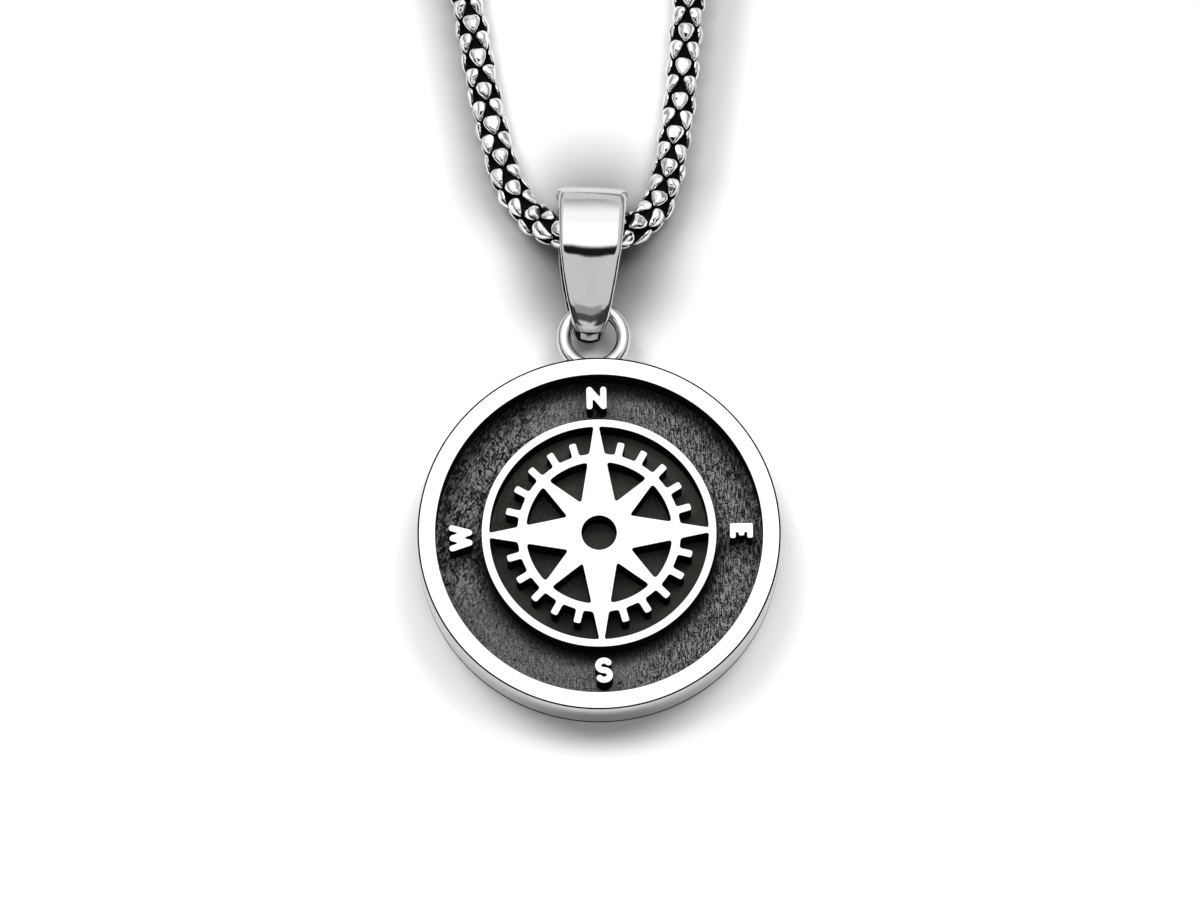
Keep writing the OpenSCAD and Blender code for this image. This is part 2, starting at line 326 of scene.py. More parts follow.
def makeCamera():
    azimuth = math.radians(view["azimuth"])
    elevation = math.radians(view["elevation"])
    level = math.cos(elevation)
    back = Vector((math.sin(azimuth) * level, -math.cos(azimuth) * level, math.sin(elevation)))
    data = bpy.data.cameras.new("camera")
    data.sensor_width = view["sensor"]
    data.lens = view["sensor"] * view["away"] / view["across"]
    data.clip_start, data.clip_end = inMetres(view["clip"])
    camera = bpy.data.objects.new("camera", data)
    camera.location = (Vector(view["target"]) + back * view["away"]) * mm
    camera.rotation_euler = (-back).to_track_quat("-Z", "Y").to_euler()
    bpy.context.scene.collection.objects.link(camera)
    bpy.context.scene.camera = camera


# Studio: a bright panel overhead and to the north, a dark strip along its south edge, and a pale room.
# Angles are in degrees from straight up, to the south or to either side. A pair is where a change begins
# and ends, and a single value is a brightness.
studio = {
    "room": 0.88, "strip": 0.01,
    "panelSides": (30, 34), "panelSouth": (-0.4, 8.6), "stripSouth": (19.2, 20.2),
    # the panel from north to south, and what shows past its north edge
    "farNorth": 0.55, "north": 1.5, "overhead": 2.1, "northFrom": (-74, -44), "overheadFrom": (-35, -15),
    "beyond": 0.91, "panelNorth": (-72.5, -70.5),
    # away from bendMiddle, which is in the east, everything lies this many degrees further north
    "bend": 2.5, "bendMiddle": 8, "bendFrom": (2, 9),
    # the dark things low down in the room, and the levels straight in front by the share of 90 degrees
    "lowSouth": 0.07, "lowSouthFrom": (35, 38), "lowSouthTo": (82, 87),
    "lowSides": 0.4, "lowSidesFrom": (58, 62), "lowSidesTo": (84, 88), "front": (16, 24),
    "inFront": [(0, 1), (0.29, 1), (0.33, 0.5), (0.46, 0.5), (0.49, 0.12), (0.61, 0.12), (0.65, 1),
                (0.78, 1), (0.81, 0.07), (0.9, 0.07), (0.94, 1)],
}


def panelLight(shader, south):
    s = studio
    lit = shader.step(south, *s["northFrom"]) * (s["north"] - s["farNorth"]) + s["farNorth"]
    lit = lit + shader.step(south, *s["overheadFrom"]) * (s["overhead"] - s["north"])
    past = 1 - shader.step(south, *s["panelNorth"])
    return lit * (1 - past) + past * s["beyond"]


def roomLight(shader, south, aside):
    s = studio
    lowSouth = shader.band(south, s["lowSouthFrom"], s["lowSouthTo"])
    lowSides = shader.band(aside, s["lowSidesFrom"], s["lowSidesTo"])
    front = 1 - shader.step(aside, *s["front"])
    inFront = shader.node("ValToRGB", {"stops": s["inFront"]}, {"Fac": south * (1 / 90)})["Color"]
    clear = inFront * front + (1 - front) * (1 - lowSouth * (1 - s["lowSouth"]))
    return clear * (1 - lowSides * (1 - s["lowSides"])) * s["room"]


def makeStudio():
    world = bpy.data.worlds.new("studio")
    bpy.context.scene.world = world
    world.use_nodes = True
    shader = Shader(world.node_tree)
    way = shader.axes(shader.node("TexCoord")["Generated"])
    east = shader.angle(way["X"], way["Z"])
    aside = abs(east)
    bent = shader.step(abs(east - studio["bendMiddle"]), *studio["bendFrom"])
    south = shader.angle(0 - way["Y"], way["Z"]) + bent * studio["bend"]
    between = 1 - shader.step(aside, *studio["panelSides"])
    panel = between * (1 - shader.step(south, *studio["panelSouth"]))
    strip = between * shader.band(south, studio["panelSouth"], studio["stripSouth"])
    room = (1 - strip * (1 - studio["strip"])) * roomLight(shader, south, aside)
    strength = panel * panelLight(shader, south) + (1 - panel) * room
    surface = shader.node("Background", {}, {"Color": grey(1), "Strength": strength})["Background"]
    shader.node("OutputWorld", {}, {"Surface": surface})


# Painted shadow: the floor's colour is greyer round the bail and along the outer sides of the chain, as in
# the photograph.
floorShade = {
    "pale": 0.9, "rough": 0.9, "shine": 0.1, "size": 6000,
    "patch": {"middle": (0.4, 21.4), "reach": (9.8, 11.8), "soft": (0.1, 1), "deep": 0.84},
    "strips": {"foot": (7.8, 28.3), "lean": 0.16, "soft": (0.5, 3.6), "deep": 0.42,
               "south": (20, 27), "north": (50, 75)},
}


def patchShade(shader, here):
    patch = floorShade["patch"]
    middle, reach = (*inMetres(patch["middle"]), 0), (*inMetres(patch["reach"]), 1)
    sockets = {"Vector": here, "Location": middle, "Scale": reach}
    place = shader.node("Mapping", {"vector_type": "TEXTURE"}, sockets)["Vector"]
    return (1 - shader.step(shader.length(place), *patch["soft"])) * patch["deep"]


def stripShade(shader, here):
    strips = floorShade["strips"]
    footX, footY = inMetres(strips["foot"])
    axes = shader.axes(here)
    off = abs(abs(axes["X"]) - (axes["Y"] - footY) * strips["lean"] - footX)
    across = (1 - shader.step(off, *inMetres(strips["soft"]))) * strips["deep"]
    return across * shader.band(axes["Y"], inMetres(strips["south"]), inMetres(strips["north"]))


def makeFloor():
    bpy.ops.mesh.primitive_plane_add(size=floorShade["size"] * mm, location=(0, 0, 0))
    floor = bpy.context.object
    floor.name = "floor"
    material, shader = newMaterial("paleFloor")
    here = shader.node("TexCoord")["Object"]
    # painted shadow: the colour is darkened in a patch round the bail and in strips beside the chain
    paleness = (1 - patchShade(shader, here)) * (1 - stripShade(shader, here))
    finishMaterial(shader, {
        "Base Color": shader.blend(paleness, grey(0), grey(floorShade["pale"])),
        "Roughness": floorShade["rough"],
        "Specular IOR Level": floorShade["shine"],
    })
    floor.data.materials.append(material)


# Lamps light the floor and matt surfaces, and don't show in the metal.
lamps = {
    "northWest": {"towards": (0.4, -0.42, -0.81), "angle": 30, "strength": 1.76},
    "northEast": {"towards": (-0.4, -0.42, -0.81), "angle": 30, "strength": 1.66},
    "overhead": {"towards": (0, -0.3, -0.95), "angle": 26, "strength": 0.6},
    "south": {"towards": (0, 0.35, -0.93), "angle": 40, "strength": 0.66},
}


def makeLamps():
    for name, lamp in lamps.items():
        data = bpy.data.lights.new(name, "SUN")
        data.energy = lamp["strength"]
        data.angle = math.radians(lamp["angle"])
        light = bpy.data.objects.new(name, data)
        light.rotation_euler = Vector(lamp["towards"]).to_track_quat("-Z", "Y").to_euler()
        light.visible_glossy = False
        bpy.context.scene.collection.objects.link(light)
    bpy.context.scene.world.cycles_visibility.diffuse = False  # the studio shows only in the metal


makeCamera()
makeStudio()
makeLamps()
makeFloor()
bpy.context.scene.view_settings.view_transform = "Standard"
print("stage 2: camera, studio and floor")


# Turns a bmesh in millimetres into an object in metres. Edges that turn further than sharp stay crisp.
def makePiece(name, bm, materials, sharp):
    bmesh.ops.recalc_face_normals(bm, faces=bm.faces)
    mesh = bpy.data.meshes.new(name)
    bm.to_mesh(mesh)
    bm.free()
    for vertex in mesh.vertices:
        vertex.co *= mm
    mesh.set_sharp_from_angle(angle=math.radians(sharp))
    for material in materials:
        mesh.materials.append(material)
    piece = bpy.data.objects.new(name, mesh)
    bpy.context.scene.collection.objects.link(piece)
    return piece


def polar(radius, angle):
    return Vector((radius * math.cos(math.radians(angle)), radius * math.sin(math.radians(angle))))


def arc(radius, start, end, step=2.5, centre=Vector((0, 0))):
    count = max(1, math.ceil(abs(end - start) / step))
    return [centre + polar(radius, start + (end - start) * i / count) for i in range(count + 1)]


def angleOf(point):
    return math.degrees(math.atan2(point.y, point.x))


# Where the line from a to b crosses the circle of that radius round the middle, between a and b
def crossing(a, b, radius, slack=1e-6):
    d = b - a
    p = a.dot(d) / d.dot(d)
    q = (a.dot(a) - radius * radius) / d.dot(d)
    root = math.sqrt(p * p - q)
    share = next(s for s in (-p - root, -p + root) if -slack <= s <= 1 + slack)
    return a + d * share


# Turn at a loop's corner in degrees, positive to the left
def turnAt(loop, i):
    before = loop[i] - loop[i - 1]
    after = loop[(i + 1) % len(loop)] - loop[i]
    return -math.degrees(before.angle_signed(after))


# The point of the loop that lies that far along it from corner i, forwards or backwards
def along(loop, i, far, way):
    while True:
        a, b = loop[i % len(loop)], loop[(i + way) % len(loop)]
        length = (b - a).length
        if length >= far:
            return a + (b - a) * (far / length)
        far -= length
        i += way


# Rounds each corner of the loop that turns by more than least, from a cut before it to a cut after it.
# Left turns have one cut and right turns the other, and points close to a rounded corner are left out.
def softened(loop, leftCut, rightCut, steps=5, least=25, clear=1.1):
    cuts = {}
    for i in range(len(loop)):
        turn = turnAt(loop, i)
        if abs(turn) > least:
            cuts[i] = leftCut if turn > 0 else rightCut
    result = []
    for i, point in enumerate(loop):
        if i in cuts:
            a, b = along(loop, i, cuts[i], -1), along(loop, i, cuts[i], 1)
            for k in range(steps + 1):
                t = k / steps
                result.append(a * (1 - t) ** 2 + point * 2 * t * (1 - t) + b * t ** 2)
        elif all((point - loop[c]).length > cut * clear for c, cut in cuts.items()):
            result.append(point)
    return result


# Moves a counter-clockwise loop outwards. At a sharp corner the point moves by 1 / sharpest at most.
def grown(loop, distance, sharpest=0.5):
    result = []
    for i, point in enumerate(loop):
        before = (point - loop[i - 1]).normalized()
        after = (loop[(i + 1) % len(loop)] - point).normalized()
        normal = Vector((before.y + after.y, -before.x - after.x)).normalized()
        lean = max(sharpest, normal.dot(Vector((after.y, -after.x))))
        result.append(point + normal * (distance / lean))
    return result


def ring(bm, loop, height):
    return [bm.verts.new((point.x, point.y, height)) for point in loop]


def addFace(bm, corners, material=0):
    face = bm.faces.new(corners)
    face.material_index = material
    face.smooth = True
    return face


# Faces between two closed rings of the same count
def bridge(bm, first, second, material=0):
    faces = []
    for i in range(len(first)):
        k = (i + 1) % len(first)
        faces.append(addFace(bm, (first[i], first[k], second[k], second[i]), material))
    return faces


# Fills the area inside the first ring and outside the others, with the spare points in it
def fill(bm, rings, material, spare=()):
    both, owner, edges = [], [], []
    for number, verts in enumerate(rings):
        start = len(both)
        both += verts
        owner += [number] * len(verts)
        edges += [(start + i, start + (i + 1) % len(verts)) for i in range(len(verts))]
    both += [bm.verts.new(p) for p in spare]
    owner += [0] * len(spare)
    flat = [Vector((v.co.x, v.co.y)) for v in both]
    _, _, faces, origin, _, _ = delaunay_2d_cdt(flat, edges, [], 1, 1e-6)
    for face in faces:
        corners = [origin[c][0] for c in face]
        owners = {owner[c] for c in corners}
        if len(owners) == 1 and owners != {0}:
            middle = sum((flat[c] for c in corners), Vector((0, 0))) / len(corners)
            if insideOf(middle, rings[owners.pop()]):
                continue
        addFace(bm, [both[c] for c in corners], material)


def insideOf(point, verts):
    hit = False
    for i in range(len(verts)):
        a, b = verts[i - 1].co, verts[i].co
        if (a.y > point[1]) != (b.y > point[1]):
            if point[0] < a.x + (point[1] - a.y) * (b.x - a.x) / (b.y - a.y):
                hit = not hit
    return hit


# Medallion. Its outline values are those of the solid; the bevels, fillets and cuts are the casting's.
medallion = {
    "sides": 240, "rimWidth": 1.2, "backBevel": 0.3, "fieldDepth": 2.1, "sharp": 35,
    # rimLine and footLine are black bands: a painted dark reflection along the top's outer edge, and
    # painted contact shadow at the foot
    "rimLine": (0.12, 0.03), "rimEdge": (0.005, 0.015), "footLine": 0.3,  # the dark lines of the side
    "dialWidth": 0.48, "cogR": 5.6, "cogWidth": 0.54, "toothLength": 0.95, "toothWidth": 0.46, "teeth": 5,
    "valleyR": 2.4, "valleyAngle": 29, "mainTip": 0.22, "pitR": 1.24, "pitStep": 5,
    "topBevel": 0.03, "fillet": 0.06, "draft": 0.02, "rootCut": 0.22, "tipCut": 0.14, "starCut": 0.3,
    "netSpacing": 0.24, "netEdge": 0.35, "netClear": 0.8, "unevenness": 0.03, "unevenScale": (1.9, 1.1),
}
letters = {
    "height": 1.56, "stroke": 0.39, "radius": 9.66, "strokeCuts": (0.05, 0.34), "outlineCuts": (0.12, 0.07),
    "N": {"line": [(-0.31, -0.38), (-0.31, 0.38), (0.31, -0.38), (0.31, 0.38)],
          "angle": 89.6, "out": -0.06},
    "E": {"outline": [(-0.325, -0.495), (0.325, -0.495), (0.325, -0.265), (0.065, -0.265), (0.065, -0.115),
                      (0.215, -0.115), (0.215, 0.115), (0.065, 0.115), (0.065, 0.265), (0.325, 0.265),
                      (0.325, 0.495), (-0.325, 0.495)], "angle": -0.6, "out": 0.13},
    "S": {"tall": 1.12, "wide": 1.15, "upper": (35, 260), "lower": (80, -145), "angle": 270.5, "out": 0.08},
    "W": {"line": [(-0.46, 0.38), (-0.23, -0.38), (0, 0.36), (0.23, -0.38), (0.46, 0.38)],
          "angle": 180.8, "out": -0.14},
}
solderRing = {"outerR": 2.6, "wireR": 0.51, "sink": 0.6, "sides": 120, "wireSides": 36,
              "solderR": 0.38, "solderX": 1.8, "lumps": 0.16, "lumpScale": 3.1}

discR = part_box("medallion")[1].x / mm
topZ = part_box("medallion")[1].z / mm
fieldZ = topZ - medallion["fieldDepth"]
ringR = solderRing["outerR"] - solderRing["wireR"]
ringY = discR + solderRing["outerR"] - solderRing["sink"]
roundness = 0.3  # where the middle point of a rounded edge lies, as a share of the edge's size

castMaterials = [silver, darkField, darkCore]
bright, oxidised, black = range(3)


# The tip, the valley and the lesser tip of the star's first eighth
def starFlanks():
    m = medallion
    mainR = dialR - m["dialWidth"] / 2
    crossR = m["cogR"] - m["cogWidth"] / 2
    tip = polar(mainR, math.degrees(math.atan(m["mainTip"] / 2 / mainR)))
    valley = polar(m["valleyR"], m["valleyAngle"])
    crossTip = polar(crossR, 45 - math.degrees(math.atan(m["toothWidth"] / 2 / crossR)))
    return tip, valley, crossTip


def mirrored(point):
    return Vector((point.y, point.x))


def turned(loop, angle):
    c, s = math.cos(math.radians(angle)), math.sin(math.radians(angle))
    return [Vector((p.x * c - p.y * s, p.x * s + p.y * c)) for p in loop]


# The hollow between the plain ring and the toothed ring, in the first quadrant
def toothedHollow():
    m = medallion
    tip, valley, _ = starFlanks()
    outR, tipR = dialR - m["dialWidth"], m["cogR"] + m["toothLength"]
    upper, lower = crossing(tip, valley, outR), crossing(tip, valley, m["cogR"])
    loop = arc(outR, angleOf(upper), 90 - angleOf(upper))
    half = m["toothWidth"] / 2
    atRoot = math.degrees(math.asin(half / m["cogR"]))
    place = 90 - angleOf(lower)
    for k in range(m["teeth"], 0, -1):
        angle = 90 * k / (m["teeth"] + 1)
        loop += arc(m["cogR"], place, angle + atRoot)
        loop += turned([Vector((tipR, half)), Vector((tipR, -half))], angle)
        place = angle - atRoot
    loop += arc(m["cogR"], place, angleOf(lower))
    return loop


# The hollow between a main point and the next lesser point of the star
def starHollow():
    m = medallion
    tip, valley, crossTip = starFlanks()
    inR = m["cogR"] - m["cogWidth"]
    onMain, onCross = crossing(tip, valley, inR), crossing(valley, crossTip, inR)
    return [valley] + arc(inR, angleOf(onMain), angleOf(onCross))


# A round-ended stroke along a line of points, with its round stretches in steps of that many degrees
def strokeOutline(line, width, step=30):
    line = [Vector(p) for p in line]
    r = width / 2
    result = []
    for way in (1, -1):
        path = line[::way]
        for i in range(len(path) - 1):
            heading = angleOf(path[i + 1] - path[i])
            if i == 0:
                result += arc(r, heading - 180, heading - 90, step, path[0])
            if i < len(path) - 2:
                nextHeading = angleOf(path[i + 2] - path[i + 1])
                turn = (nextHeading - heading + 180) % 360 - 180
                if turn > 0:  # the outer side of the bend
                    result += arc(r, heading - 90, heading - 90 + turn, step, path[i + 1])
                else:
                    inner = polar(r / math.cos(math.radians(turn / 2)), heading - 90 + turn / 2)
                    result.append(path[i + 1] + inner)
            else:
                result += arc(r, heading - 90, heading, step, path[-1])[:-1]
    return result


# The S as a line: the upper bow and then the lower one
def curvedS(height, stroke, count=15):
    s = letters["S"]
    ry = (height * s["tall"] - stroke) / 4
    rx = ry * s["wide"]
    line = []
    for (start, end), middle in ((s["upper"], ry), (s["lower"], -ry)):
        for k in range(count + 1):
            a = math.radians(start + (end - start) * k / count)
            line.append((rx * math.cos(a), middle + ry * math.sin(a)))
    return line


def letterOutline(name):
    letter = letters[name]
    height, stroke = letters["height"], letters["stroke"]
    if name == "S":
        loop = strokeOutline(curvedS(height, stroke), stroke)
    elif "line" in letter:
        loop = strokeOutline([(x * height, y * height) for x, y in letter["line"]], stroke)
        loop = softened(loop, *letters["strokeCuts"], steps=6, least=40)
    else:
        loop = softened([Vector(p) * height for p in letter["outline"]], *letters["outlineCuts"])
    out = letters["radius"] + letter["out"]
    return turned([Vector((out + p.y, -p.x)) for p in loop], letter["angle"])


# Wall from a top's edge down to the field, as rings: how far each stands out of the top, and its height.
# side is 1 where the field lies outside the loop and -1 where it lies inside. Only the rim and the dial
# have a fillet at their foot.
def wall(bm, loop, side, filleted=False):
    m = medallion
    bevel, fillet = m["topBevel"], m["fillet"]
    steps = [(0, topZ), (bevel * (1 - roundness), topZ - bevel * roundness), (bevel, topZ - bevel)]
    if filleted:
        out = bevel + m["draft"]
        steps += [(out, fieldZ + fillet), (out + fillet * roundness, fieldZ + fillet * roundness),
                  (out + fillet, fieldZ)]
    else:
        steps.append((bevel, fieldZ))
    rings = [ring(bm, grown(loop, side * out), height) for out, height in steps]
    # the upright band of every wall is near-black: oxide with painted shade
    for upper, lower, material in zip(rings, rings[1:], (bright, bright, black, oxidised, oxidised)):
        bridge(bm, upper, lower, material)
    return rings[0], rings[-1]


# Points of the slightly uneven field, clear of the letters' feet
def fieldPoints(inner, outer, keepOff):
    m = medallion
    spacing = m["netSpacing"]
    scaleX, scaleY = m["unevenScale"]
    points = []
    rows = int((outer - inner) / spacing)
    for row in range(rows + 1):
        radius = inner + row * (outer - inner) / rows
        count = int(2 * math.pi * radius / spacing)
        for i in range(count):
            p = polar(radius, 360 * (i + 0.5 * (row % 2)) / count)
            if all((p - q).length > spacing * m["netClear"] for q in keepOff):
                lift = noise.noise(Vector((p.x * scaleX, p.y * scaleY, 3.0))) * m["unevenness"]
                points.append((p.x, p.y, fieldZ + lift))
    return points


def circle(radius):
    sides = medallion["sides"]
    return [polar(1, 360 * i / sides) * radius for i in range(sides)]


# The rim, the side and the back. Gives the ring where the rim's wall meets the field.
def castRim(bm, inR):
    m = medallion
    (across, down), (edgeIn, edgeDown), back = m["rimLine"], m["rimEdge"], m["backBevel"]
    top, foot = wall(bm, circle(inR), -1, filleted=True)
    # the black bands are painted: a dark reflection along the top's outer edge and contact shadow at the
    # foot
    shell = [  # how far in from the disc's edge, height, and the material from there to the next
        (across, topZ, black), (edgeIn, topZ - down, bright), (0, topZ - down - edgeDown, bright),
        (0, topZ / 2, bright), (0, back + m["footLine"], black), (0, back, bright),
        (back * roundness, back * roundness, bright), (back, 0, bright),
    ]
    rings = [ring(bm, circle(discR - inward), height) for inward, height, _ in shell]
    bridge(bm, top, rings[0], bright)
    for upper, lower, (_, _, material) in zip(rings, rings[1:], shell):
        bridge(bm, upper, lower, material)
    addFace(bm, rings[-1])
    return foot


# The rose with its two rings. Gives the ring where its wall meets the field.
def castDial(bm):
    m = medallion
    top, foot = wall(bm, circle(dialR), 1, filleted=True)
    toothed = softened(toothedHollow(), m["rootCut"], m["tipCut"])
    starred = softened(starHollow(), m["starCut"], m["tipCut"])
    starredBack = [mirrored(p) for p in reversed(starred)]
    hollows = [turned(loop, 90 * k) for k in range(4) for loop in (toothed, starred, starredBack)]
    hollows.append(arc(m["pitR"], 0, 360 - m["pitStep"], m["pitStep"]))
    edges = []
    for loop in hollows:
        edge, floor = wall(bm, loop, -1)
        edges.append(edge)
        fill(bm, [floor], oxidised)
    fill(bm, [top] + edges, bright)
    return foot


def castLetter(bm, name):
    top, foot = wall(bm, letterOutline(name), 1)
    fill(bm, [top], bright)
    return foot


def castBody():
    m = medallion
    bm = bmesh.new()
    inR = discR - m["rimWidth"]
    rimFoot = castRim(bm, inR)
    dialFoot = castDial(bm)
    feet = [castLetter(bm, name) for name in "NESW"]
    keepOff = [Vector((v.co.x, v.co.y)) for foot in feet for v in foot]
    net = fieldPoints(dialR + m["netEdge"], inR - m["netEdge"], keepOff)
    net = [p for p in net if not any(insideOf(p, foot) for foot in feet)]
    fill(bm, [rimFoot, dialFoot] + feet, oxidised, net)
    return makePiece("castMedallion", bm, castMaterials, m["sharp"])


def solderedRing():
    s = solderRing
    bm = bmesh.new()
    rows = []
    for i in range(s["sides"]):
        a = 2 * math.pi * i / s["sides"]
        row = []
        for k in range(s["wireSides"]):
            b = 2 * math.pi * k / s["wireSides"]
            r = ringR + s["wireR"] * math.cos(b)
            spot = (r * math.cos(a), ringY + r * math.sin(a), topZ / 2 + s["wireR"] * math.sin(b))
            row.append(bm.verts.new(spot))
        rows.append(row)
    for i, row in enumerate(rows):
        bridge(bm, row, rows[(i + 1) % len(rows)])
    return makePiece("ringBlank", bm, castMaterials, medallion["sharp"])


def solderLump(x):
    s = solderRing
    bm = bmesh.new()
    bmesh.ops.create_icosphere(bm, subdivisions=4, radius=s["solderR"])
    for face in bm.faces:
        face.smooth = True
    for v in bm.verts:
        v.co *= 1 + s["lumps"] * noise.noise(v.co * s["lumpScale"] + Vector((x, 0, 0)))
        v.co += Vector((x, discR + s["solderR"] / 4, topZ / 2))
    return makePiece("solderBlank", bm, castMaterials, medallion["sharp"])


# Joins the others to the piece. Faces that look straight up or down stay flat.
def fuse(piece, others, level=0.99999):
    for other in others:
        modifier = piece.modifiers.new("fuse", "BOOLEAN")
        modifier.operation = "UNION"
        modifier.solver = "EXACT"
        modifier.object = other
        bpy.context.view_layer.objects.active = piece
        bpy.ops.object.modifier_apply(modifier=modifier.name)
    for other in others:
        bpy.data.objects.remove(other)
    piece.data.set_sharp_from_angle(angle=math.radians(medallion["sharp"]))
    for polygon in piece.data.polygons:
        polygon.use_smooth = abs(polygon.normal.z) < level


medallionPiece = castBody()
fuse(medallionPiece, [solderedRing()] + [solderLump(side * solderRing["solderX"]) for side in (-1, 1)])
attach(medallionPiece, "root")
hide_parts("medallion")
print("stage 3: medallion,", len(medallionPiece.data.polygons), "faces")


# Bail: a strap swept round its side outline, with bevelled edges and a slightly crowned face. The outline
# lies in the plane of north and height, and the angles of its arcs are those of the outward normals.
bail = {
    "length": 10.84, "width": 4.92, "thick": 0.56, "bigR": 2.05, "smallR": 1.22, "hang": 0.05,
    "crownR": 5.5, "crownFrom": 109, "crownTo": 55, "creaseR": 0.03, "cupFrom": 1.3,
    "toe": (15.2, 1.2), "toeR": 0.85, "toeNormal": 162, "toeRise": 1.1,
    "lean": 2.4, "roll": 4, "bow": 0.17, "west": 0.2, "sharp": 50,
    # the share of the width at each share of the length from the foot; then the further shares that the
    # foot and the back have, which are told by their normals
    "outline": [(0, 0.42), (0.085, 0.52), (0.22, 0.65), (0.35, 0.755), (0.53, 0.87), (1, 1)],
    "footShare": 0.76, "backShare": 0.93, "backFrom": 262, "backTo": 330,
    # across the strap: the crown's points, and how far from the side and how deep the edge's points lie
    "across": (0.2, 0.4, 0.6, 0.8, 0.96, 1), "bevel": 0.4, "crown": 0.07, "inner": 0.9,
    "edge": [(0.2, 0.1308), (0.04, 0.2076), (0, 0.28), (0, 0.48), (0.06, 0.56)],
    # painted shade: the bevels' faces, as counted across the strap, that are black on the foot, and the
    # heights outside which the whole foot is black
    "bevelFaces": (13, 14, 23, 24), "shadeBelow": 1.5, "shadeAbove": 2.24,
}
# near-black: soot with painted shade in the chain's hollows, and painted shade on the bail's foot
sootAndShade = 1  # the second material of the bail and of the chain


# Places and normals' angles round the side outline, and the y of the foot
def bailStations():
    b = bail
    small = Vector((ringY + b["smallR"] - b["hang"], topZ / 2))
    foot = small.x - b["smallR"]
    rise = b["width"] / 2 * math.sin(math.radians(b["roll"]))
    big = Vector((foot + b["length"] - b["bigR"], b["bigR"] + rise))
    crown = big - polar(b["crownR"] - b["bigR"], b["crownTo"])
    gap = big - small
    under = angleOf(gap) - math.degrees(math.acos((b["smallR"] - b["bigR"]) / gap.length))
    front = crown + polar(b["crownR"], b["crownFrom"]) - small - polar(b["smallR"], b["crownFrom"])
    frontNormal = angleOf(front) + 90
    # the front drops in a shallow cup above a steep foot
    toe = Vector(b["toe"])
    heel = toe + polar(b["toeR"], b["toeNormal"])
    crease = heel + polar(b["toeRise"], b["toeNormal"] - 90)
    cupTop = small + polar(b["smallR"], frontNormal) + front.normalized() * b["cupFrom"]
    chord = cupTop - crease
    cupEnd = frontNormal - 2 * (frontNormal - 90 - angleOf(chord))
    cupR = chord.length / 2 / math.sin(math.radians((cupEnd - frontNormal) / 2))
    cup = cupTop - polar(cupR, frontNormal)
    arcs = [  # centre, radius, first and last angle, and steps
        (crown, b["crownR"], b["crownFrom"], b["crownTo"], 28),
        (big, b["bigR"], b["crownTo"], under, 40),
        (toe, b["toeR"], under + 360, b["toeNormal"], 24),
        (crease, b["creaseR"], b["toeNormal"], cupEnd, 3),
        (cup, cupR, cupEnd, frontNormal, 24),
    ]
    stations = []
    for centre, radius, start, end, count in arcs:
        for i in range(count + 1):
            angle = start + (end - start) * i / count
            if not (centre is big and i == 0):  # the crown has ended there
                stations.append((centre + polar(radius, angle), angle))
    return withStraights(stations), foot


# Adds stations where the next one is further than longest
def withStraights(stations, longest=1, count=10):
    result = []
    for i, (point, angle) in enumerate(stations):
        result.append((point, angle))
        after, nextAngle = stations[(i + 1) % len(stations)]
        if (after - point).length > longest:
            nextAngle += 360 * round((angle - nextAngle) / 360)
            for k in range(1, count):
                result.append((point.lerp(after, k / count), angle + (nextAngle - angle) * k / count))
    return result


def isFoot(angle):
    return bail["toeNormal"] - 1 < angle % 360 < bail["backFrom"]


def halfWidth(share, angle):
    half = bail["width"] / 2
    for (a, wideA), (b, wideB) in zip(bail["outline"], bail["outline"][1:]):
        if a <= share <= b:
            half *= wideA + (wideB - wideA) * (share - a) / (b - a)
            break
    if isFoot(angle):
        half *= bail["footShare"]
    elif bail["backFrom"] <= angle % 360 < bail["backTo"]:
        half *= bail["backShare"]
    return half


# Across the strap: how far from the middle, and how deep below the outer face
def strapSection(half):
    b = bail
    flat = half - b["bevel"]
    across = [-u for u in reversed(b["across"])] + [0] + list(b["across"])
    crown = [(flat * u, b["crown"] * u * u) for u in across]
    edge = [(half - inward, depth) for inward, depth in b["edge"]]
    back = [(flat * u, b["thick"]) for u in (b["inner"], 0, -b["inner"])]
    return crown + edge + back + [(-x, depth) for x, depth in reversed(edge)]


def makeBail():
    b = bail
    stations, foot = bailStations()
    bm = bmesh.new()
    rows = []
    for point, angle in stations:
        share = min(1, max(0, (point.x - foot) / b["length"]))
        bow = b["bow"] * math.sin(math.pi * share) + b["west"]
        row = []
        for x, depth in strapSection(halfWidth(share, angle)):
            spot = point - polar(1, angle) * depth
            row.append(bm.verts.new((x - bow, spot.x, spot.y)))
        rows.append(row)
    for i, (point, angle) in enumerate(stations):
        faces = bridge(bm, rows[i], rows[(i + 1) % len(rows)])
        # painted shade: on the foot the bevels are black, and so is all of it outside the given heights
        if isFoot(angle):
            allBlack = not b["shadeBelow"] < point.y < b["shadeAbove"]
            for k, face in enumerate(faces):
                face.material_index = sootAndShade if allBlack or k in b["bevelFaces"] else bright
    hinge = Vector((0, ringY + ringR, topZ / 2))
    lean = Matrix.Rotation(math.radians(-b["lean"]), 4, "Z")
    turn = lean @ Matrix.Rotation(math.radians(b["roll"]), 4, "Y")
    turn = Matrix.Translation(hinge) @ turn @ Matrix.Translation(-hinge)
    bmesh.ops.transform(bm, matrix=turn, verts=bm.verts)
    piece = makePiece("taperedBail", bm, [silver, darkCore], b["sharp"])
    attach(piece, "root")
    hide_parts("bail")
    return piece


bailPiece = makeBail()
print("stage 4: bail,", len(bailPiece.data.polygons), "faces")


